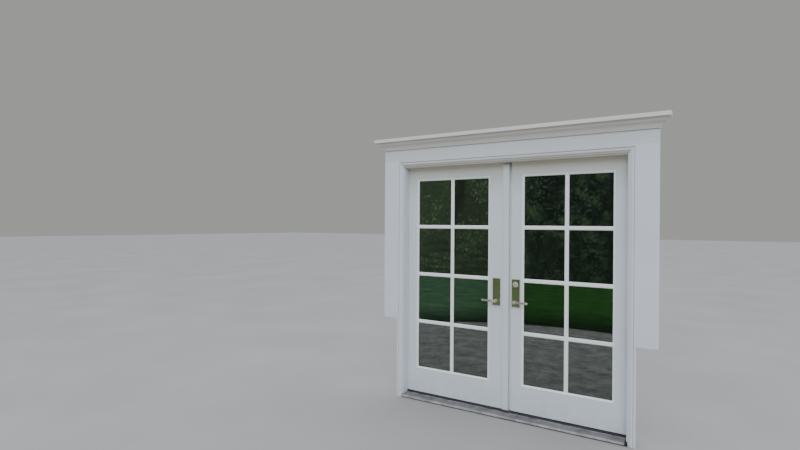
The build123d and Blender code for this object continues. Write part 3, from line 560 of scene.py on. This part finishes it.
def glass_finish():
    """Tinted glass that mirrors more than it lets through."""
    finish, tree, surface = new_finish("dark_glass")
    place = place_on(tree)
    dust = mottle(tree, place, scale=7.0, detail=5.0, roughness=0.6)
    wave = mottle(tree, place, scale=2.6, detail=1.0)
    clean_tint, dusty_tint = (0.055, 0.075, 0.062, 1), (0.075, 0.095, 0.082, 1)
    set_sockets(tree, surface, {
        "Base Color": mixed(tree, eased(tree, dust, 0.3, 0.75), clean_tint, dusty_tint),
        "Roughness": eased(tree, dust, 0.35, 0.8, to=(0.0, 0.02)),
        "Normal": raised(tree, wave, strength=0.04, depth=0.002),
        "Transmission Weight": 1.0, "IOR": 1.52, "Specular IOR Level": 0.9,
        "Coat Weight": 1.0, "Coat IOR": 1.9, "Coat Roughness": 0.0})
    return finish


give_finish(glass_finish(), "left_glass_panes", "right_glass_panes")
dull_aluminium = metal_finish("dull_aluminium", {
    "Metal": (0.50, 0.51, 0.53, 1), "Tarnish": (0.36, 0.36, 0.37, 1), "Tarnish share": 0.4,
    "Line stretch": (90.0, 400.0, 90.0), "Roughness": 0.42, "Line depth": 0.2})
give_finish(dull_aluminium, "left_glass_spacer", "right_glass_spacer")


# The astragal: a painted post screwed to the left leaf's edge, painted dark as shade at its very top, with a
# bulb of pale vinyl pushed into its own edge.

astragal_top_shade = (upward, (2.036, 2.044, 3.0, 4.0), (0.434, 0.4662, 0.476, 1))
give_finish(shade_lined("astragal_paint", brushed_up, leaf_white, astragal_top_shade), "astragal")
pale_vinyl = vinyl_finish("pale_vinyl", (0.62, 0.64, 0.64, 1), (0.72, 0.74, 0.74, 1))
give_finish(pale_vinyl, "astragal_seal")


# The lock's plates: cast brass, bevelled round the edge and gone dull in clouds.
# The strikes are of the same brass. Each inner plate and each strike is held by two screws.

plate_brass = metal_finish("plate_brass", {
    "Metal": (0.55, 0.45, 0.33, 1), "Tarnish": (0.33, 0.24, 0.17, 1), "Tarnish share": 0.65,
    "Line stretch": (24.0, 24.0, 480.0), "Roughness": 0.22, "Line depth": 0.2})
give_finish(plate_brass, "left_outer_plate", "left_inner_plate", "right_outer_plate", "right_inner_plate",
            "astragal_strike", "bolt_strikes")
plate_face, plate_screw, strike_screw = 0.124, 0.0036, 0.0034
plate_screws_up, strike_screws_up = (0.8965, 1.0995), (0.9055, 1.0905)
for leaf, middle_x in (("left", -0.07525), ("right", 0.08825)):
    set_screws(leaf + "_plate_screws", [((middle_x, plate_face, height), (0, 1, 0))
                                        for height in plate_screws_up],
               plate_screw, plate_brass, leaf + "_leaf")
leaf_middle, astragal_edge = 0.09375, 0.02925
set_screws("astragal_strike_screws", [((astragal_edge, leaf_middle, height), (1, 0, 0))
                                      for height in strike_screws_up],
           strike_screw, plate_brass, "left_leaf")
shoot_bolts_x, beside_bolt = -0.01725, 0.022
sill_strike, head_strike = (0.036, 1), (2.064, -1)
set_screws("bolt_strike_screws", [((shoot_bolts_x + shift, leaf_middle, height), (0, 0, facing))
                                  for shift in (-beside_bolt, beside_bolt)
                                  for height, facing in (sill_strike, head_strike)],
           strike_screw, plate_brass, "frame")


# The levers, the key cylinder and the thumbturn: brass under a pale satin lacquer, brushed along the arm.
# The levers are cast in one with their hubs and turn in the plates.

lacquered = 0.6
arm_brushed = (40.0, 420.0, 420.0)
lever_brass = metal_finish("lever_brass", {
    "Metal": (0.86, 0.83, 0.72, 1), "Tarnish": (0.60, 0.55, 0.42, 1), "Tarnish share": 0.4,
    "Line stretch": arm_brushed, "Roughness": 0.2, "Line depth": 0.2}, bare=lacquered)
give_finish(lever_brass, "right_lock_cylinder", "right_key_plug", "right_thumbturn")


def arm_finish():
    """Lever brass, painted darker along the middle of the arm, between its hub and its tip, as a painted
    reflection of dark surroundings.
    """
    finish, tree, surface = new_finish("arm_brass")
    x = split(tree, place_on(tree))[0]
    # Painted reflection: the arm's middle is darker than its hub and its tip.
    mid_arm = (0.096, 0.106, 0.170, 0.188)
    mid_arm_share = band(tree, off_middle(tree, x), *mid_arm)
    bright, reflected_dark = (0.80, 0.78, 0.67, 1), (0.40, 0.42, 0.34, 1)
    cover(tree, surface, metal_skin, {
        "Metal": mixed(tree, mid_arm_share, bright, reflected_dark), "Tarnish": (0.40, 0.40, 0.32, 1),
        "Tarnish share": 0.4, "Line stretch": arm_brushed, "Roughness": 0.26, "Line depth": 0.2})
    set_sockets(tree, surface, {"Metallic": lacquered})
    return finish


give_finish(arm_finish(), "left_outer_lever", "left_inner_lever", "right_outer_lever", "right_inner_lever")


# The lock cases, latch, deadbolt and shoot bolts: plated steel with upright brush lines, greyed in clouds.
# Two screws hold the active lock's faceplate to the leaf's edge.

lock_steel = metal_finish("lock_steel", {
    "Metal": (0.56, 0.56, 0.57, 1), "Tarnish": (0.36, 0.35, 0.34, 1), "Tarnish share": 0.5,
    "Line stretch": (260.0, 260.0, 26.0), "Roughness": 0.33, "Line depth": 0.3})
give_finish(lock_steel, "left_lock_case", "right_lock_case", "left_top_bolt", "left_bottom_bolt",
            "right_latch_bolt", "right_deadbolt")
faceplate_x, face_screws_up = 0.03325, (0.858, 1.138)
set_screws("lock_face_screws", [((faceplate_x, leaf_middle, height), (-1, 0, 0))
                                for height in face_screws_up],
           strike_screw, lock_steel, "right_leaf")


# The studio: a plain pale floor, and soft light from all round that is strongest from above and from the
# right. Shiny surfaces also pick up a worn grey floor close by, a green one further out, and a dark mottled
# card behind it.

def right_of_parting(tree, x, y):
    """How far a spot lies to the right of the line on which the two leaves' reflections part."""
    parting_slope = 0.373
    return reckoned(tree, "SUBTRACT", x, reckoned(tree, "MULTIPLY", y, parting_slope))


def floor_finish():
    """Pale to the eye, a little brown in the light it throws back, and worn grey or green in reflections."""
    finish, tree, surface = new_finish("pale_floor")
    place = place_on(tree)
    x, y = split(tree, place)[:2]
    path = add_node(tree, "ShaderNodeLightPath").outputs
    clouds = mottle(tree, place, scale=0.8)
    pale = mixed(tree, eased(tree, clouds, 0.3, 0.7), (0.325, 0.322, 0.315, 1), (0.36, 0.357, 0.35, 1))
    thrown_back = (0.235, 0.210, 0.170, 1)
    plain = mixed(tree, path["Is Diffuse Ray"], pale, thrown_back)
    wear = mottle(tree, place, scale=5.0, detail=8.0, roughness=0.8)
    worn = mixed(tree, eased(tree, wear, 0.38, 0.62), (0.25, 0.268, 0.236, 1), (0.575, 0.58, 0.565, 1))
    plain = mixed(tree, path["Is Glossy Ray"], plain, worn)

    bow_middle, bow_share, bow_near, straight = -0.3, 0.16, 3.72, -1.5
    bow = reckoned(tree, "POWER", reckoned(tree, "SUBTRACT", x, bow_middle), 2.0)
    bowed = reckoned(tree, "SUBTRACT", reckoned(tree, "MULTIPLY", bow, bow_share), bow_near)
    past_edge = reckoned(tree, "SUBTRACT", y, reckoned(tree, "MINIMUM", bowed, straight))
    nap = eased(tree, mottle(tree, place, scale=3.0, detail=6.0, roughness=0.7), 0.35, 0.7)
    right_green = mixed(tree, nap, (0.023, 0.120, 0.017, 1), (0.060, 0.275, 0.038, 1))
    left_green = mixed(tree, nap, (0.085, 0.20, 0.105, 1), (0.18, 0.40, 0.195, 1))
    green = mixed(tree, eased(tree, right_of_parting(tree, x, y), 0.3, -0.9), right_green, left_green)
    edge_green = (0.010, 0.03, 0.006, 1)
    green = mixed(tree, eased(tree, past_edge, -1.8, -0.1, to=(0.0, 0.85)), green, edge_green)

    beyond = reckoned(tree, "MULTIPLY", path["Is Glossy Ray"], eased(tree, past_edge, 0.03, -0.03))
    set_sockets(tree, surface, {"Base Color": mixed(tree, beyond, plain, green), "Roughness": 0.85,
                                "Specular IOR Level": 0.2})
    return finish


def card_finish():
    """Dark green and brown in patches and dabs, layered near the floor, with a few dark upright streaks."""
    finish, tree, surface = new_finish("mottled_card")
    place = place_on(tree)
    x, y, z = split(tree, place)
    rightward = right_of_parting(tree, x, y)
    leftward = eased(tree, rightward, 0.9, -0.5)
    right_dark, left_dark = (0.026, 0.043, 0.034, 1), (0.128, 0.178, 0.108, 1)
    far_left_dark, brown = (0.172, 0.262, 0.150, 1), (0.052, 0.047, 0.05, 1)
    dark = mixed(tree, leftward, right_dark, left_dark)
    dark = mixed(tree, eased(tree, rightward, -1.3, -2.4), dark, far_left_dark)

    patches = mottle(tree, place, scale=0.9, roughness=0.6)
    dabs = mottle(tree, place, scale=5.0, detail=6.0, roughness=0.8)
    fresh = mixed(tree, eased(tree, patches, 0.35, 0.65), (0.10, 0.17, 0.12, 1), (0.22, 0.46, 0.17, 1))
    dabbed = reckoned(tree, "MULTIPLY", eased(tree, dabs, 0.47, 0.60),
                      eased(tree, patches, 0.36, 0.56, to=(0.20, 1.0)))
    cover_tone = mixed(tree, dabbed, dark, fresh)

    flecks = eased(tree, mottle(tree, place, scale=12.0, detail=2.0, roughness=0.6), 0.54, 0.64)
    gathered = eased(tree, mottle(tree, place, scale=1.6, detail=2.0), 0.42, 0.62, to=(0.15, 0.9))
    sparse = reckoned(tree, "MULTIPLY", flecks, gathered)
    sparse = reckoned(tree, "MULTIPLY", sparse, eased(tree, z, 0.5, 2.0, to=(0.7, 1.0)))
    bright = mixed(tree, leftward, (0.26, 0.42, 0.26, 1), (0.62, 0.90, 0.50, 1))
    cover_tone = mixed(tree, sparse, cover_tone, bright)

    layers = mottle(tree, drawn_out(tree, place, (0.9, 1.0, 6.5)), roughness=0.6)
    layered = reckoned(tree, "MULTIPLY", eased(tree, layers, 0.42, 0.58),
                       eased(tree, z, 1.6, 0.7, to=(0.0, 0.55)))
    cover_tone = mixed(tree, layered, cover_tone, brown)
    streaks = mottle(tree, drawn_out(tree, place, (1.9, 1.0, 0.06)), detail=0.0)
    streaked = eased(tree, streaks, 0.60, 0.63, to=(0.0, 0.6))
    streak_brown = (0.050, 0.046, 0.042, 1)
    set_sockets(tree, surface, {"Emission Color": mixed(tree, streaked, cover_tone, streak_brown),
                                "Emission Strength": 1.0, "Base Color": (0, 0, 0, 1)})
    return finish


def flat_sheet(name, corners, finish):
    """A four-cornered sheet that belongs to the studio."""
    mesh = bpy.data.meshes.new(name)
    mesh.from_pydata(corners, [], [(0, 1, 2, 3)])
    mesh.materials.append(finish)
    sheet = bpy.data.objects.new(name, mesh)
    bpy.context.scene.collection.objects.link(sheet)
    return sheet


floor_level, floor_half = -0.0005, 60.0
flat_sheet("floor", [(-floor_half, -floor_half, floor_level), (floor_half, -floor_half, floor_level),
                     (floor_half, floor_half, floor_level), (-floor_half, floor_half, floor_level)],
           floor_finish())
card_half, card_away, card_top = 40.0, -10.1, 9.0
card = flat_sheet("mottled_card", [(-card_half, card_away, floor_level), (card_half, card_away, floor_level),
                                   (card_half, card_away, card_top), (-card_half, card_away, card_top)],
                  card_finish())
card.visible_camera = card.visible_diffuse = card.visible_shadow = card.visible_transmission = False


def surroundings():
    """Soft light for matt surfaces, a plain backdrop, and for shiny ones a pale top and a dim left side."""
    world = bpy.data.worlds.new("soft_studio")
    world.use_nodes = True
    tree = world.node_tree
    path = add_node(tree, "ShaderNodeLightPath").outputs
    ways = split(tree, add_node(tree, "ShaderNodeTexCoord").outputs["Generated"])
    x, z = ways[0], ways[2]
    low_light, high_light = (0.42, 0.43, 0.455, 1), (2.05, 2.12, 2.25, 1)
    rising = mixed(tree, eased(tree, z, 0.0, 0.9), low_light, high_light)
    light = shaded(tree, rising, eased(tree, x, -1.0, 1.0, to=(0.84, 1.16)))
    dim_left, grey_right, pale_top = (0.04, 0.05, 0.045, 1), (0.52, 0.53, 0.53, 1), (0.76, 0.81, 0.87, 1)
    low = mixed(tree, eased(tree, x, -0.9, 0.3), dim_left, grey_right)
    mirrored = mixed(tree, eased(tree, z, 0.05, 0.5), low, pale_top)
    seen = mixed(tree, path["Is Glossy Ray"], light, mirrored)
    backdrop = (0.43, 0.43, 0.42, 1)
    set_sockets(tree, tree.nodes["Background"], {
        "Color": mixed(tree, path["Is Camera Ray"], seen, backdrop), "Strength": 0.82})
    return world


bpy.context.scene.world = surroundings()
lamp_light = bpy.data.lights.new("broad_lamp", "AREA")
lamp_light.shape = "RECTANGLE"
lamp_light.size, lamp_light.size_y = 9.0, 8.0
lamp_light.energy = 700.0
lamp = bpy.data.objects.new("broad_lamp", lamp_light)
lamp_place, lit_spot = Vector((5.0, -12.0, 9.0)), Vector((0, 0, 1.1))
lamp.matrix_world = (Matrix.Translation(lamp_place)
                     @ (lit_spot - lamp_place).to_track_quat("-Z", "Y").to_matrix().to_4x4())
bpy.context.scene.collection.objects.link(lamp)
lamp.visible_glossy = False
